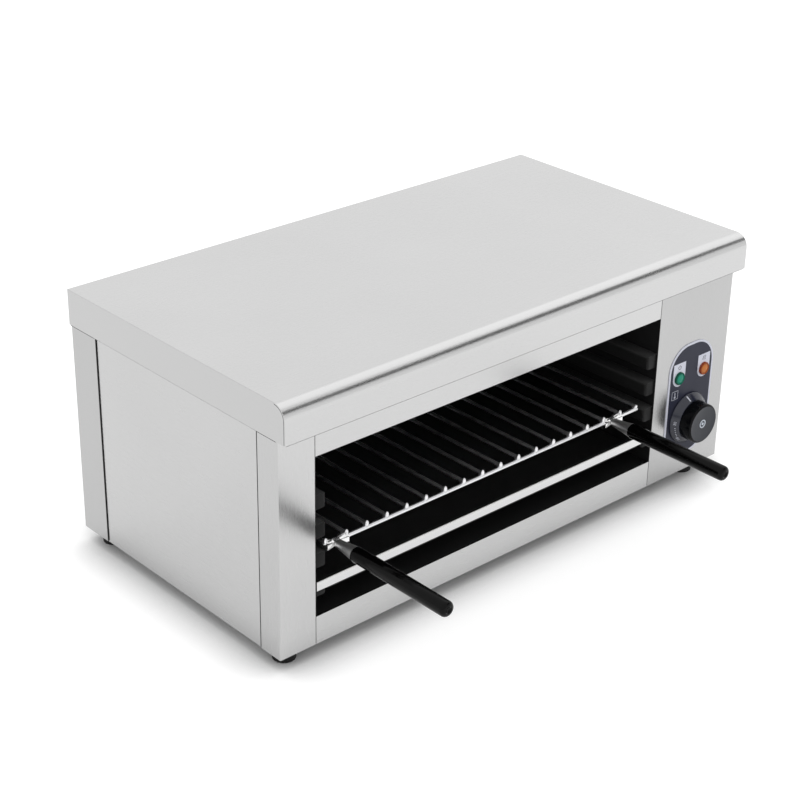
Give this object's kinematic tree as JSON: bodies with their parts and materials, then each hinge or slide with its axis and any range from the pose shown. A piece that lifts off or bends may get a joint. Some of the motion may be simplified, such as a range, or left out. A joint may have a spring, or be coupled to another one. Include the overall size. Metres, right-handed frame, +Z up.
{
  "type": "cheese melter",
  "caption": "Countertop electric cheese melter: stainless cabinet open at the front, pull-out wire rack on two handles, crumb tray and thermostat column.",
  "frame": {"origin": "on the surface that the feet stand on, under the middle of the whole object, handles and cable gland included", "axes": "+X to the user's right, +Y from the front to the back, +Z up"},
  "size_m": [0.6026, 0.475, 0.2705],
  "materials": {
    "stainless": "fine satin stainless sheet",
    "cavity_steel": "dark heat-proof coating",
    "bright_wire": "bright plated wire",
    "neck_steel": "drawn grey steel",
    "grip_black": "gloss moulded phenolic",
    "knob_black": "satin moulded phenolic",
    "badge_metal": "satin disc",
    "plate_dark": "dark printed film",
    "plate_white": "white printed film",
    "lens_green": "translucent green lens",
    "lens_amber": "translucent amber lens",
    "rubber_black": "matt rubber",
    "element_steel": "oxidised steel tube",
    "bracket_zinc": "zinc-plated steel",
    "screw_steel": "bright zinc",
    "blanket_white": "ceramic fibre",
    "housing_plastic": "moulded cream plastic",
    "gland_black": "moulded nylon",
    "lead_sleeve": "silicone sleeve",
    "brass_stud": "turned brass"
  },
  "bodies": {
    "cabinet": {"top_cover": "stainless", "front_left_post": "stainless", "control_panel": "stainless", "front_top_rail": "stainless", "front_bottom_rail": "stainless", "left_side_panel": "stainless", "right_side_panel": "stainless", "rear_panel": "stainless", "base_plate": "stainless", "heat_reflector": "stainless", "left_cavity_wall": "cavity_steel", "right_cavity_wall": "cavity_steel", "left_rack_runners": "cavity_steel", "right_rack_runners": "cavity_steel", "cavity_back_wall": "cavity_steel", "cavity_floor_sheet": "cavity_steel", "control_plate": "plate_dark", "plate_border": "plate_white", "lamp_tags": "plate_white", "green_lamp_lens": "lens_green", "amber_lamp_lens": "lens_amber", "feet": "rubber_black", "heating_element_front": "element_steel", "heating_element_middle": "element_steel", "heating_element_rear": "element_steel", "rear_corner_brackets": "bracket_zinc", "element_hanger": "bracket_zinc", "sensor_clips": "bracket_zinc", "thermostat_bracket": "bracket_zinc", "foot_screws": "screw_steel", "foot_nuts": "screw_steel", "rear_screws": "screw_steel", "insulation_blanket": "blanket_white", "lamp_holders": "housing_plastic", "thermostat_body": "housing_plastic", "terminal_block": "housing_plastic", "cable_gland": "gland_black", "gland_nut": "gland_black", "internal_wires": "lead_sleeve", "element_terminals": "brass_stud", "element_bushings": "brass_stud", "element_links": "brass_stud", "sensor_bulb": "brass_stud", "sensor_capillary": "brass_stud"},
    "rack": {"rack_front_bar": "bright_wire", "rack_middle_bar": "bright_wire", "rack_rear_bar": "bright_wire", "rack_wires": "bright_wire", "left_handle_clip": "bright_wire", "right_handle_clip": "bright_wire", "left_handle_ferrule": "neck_steel", "right_handle_ferrule": "neck_steel", "handle_rods": "neck_steel", "left_handle_grip": "grip_black", "right_handle_grip": "grip_black"},
    "crumb_tray": {"crumb_tray": "stainless"},
    "knob": {"knob_skirt": "knob_black", "knob_cap": "knob_black", "knob_badge": "badge_metal", "knob_spindle": "neck_steel"}
  },
  "joints": [
    {"name": "rack_slide", "type": "slide", "parent": "cabinet", "child": "rack", "axis": [0, -1, 0], "range_m": [0, 0.26]},
    {"name": "tray_slide", "type": "slide", "parent": "cabinet", "child": "crumb_tray", "axis": [0, -1, 0], "range_m": [0, 0.26]},
    {"name": "knob_turn", "type": "hinge", "parent": "cabinet", "child": "knob", "pos_m": [0.2445, -0.0945, 0.0779], "axis": [0, 1, 0], "range_deg": [0, 300]}
  ]
}
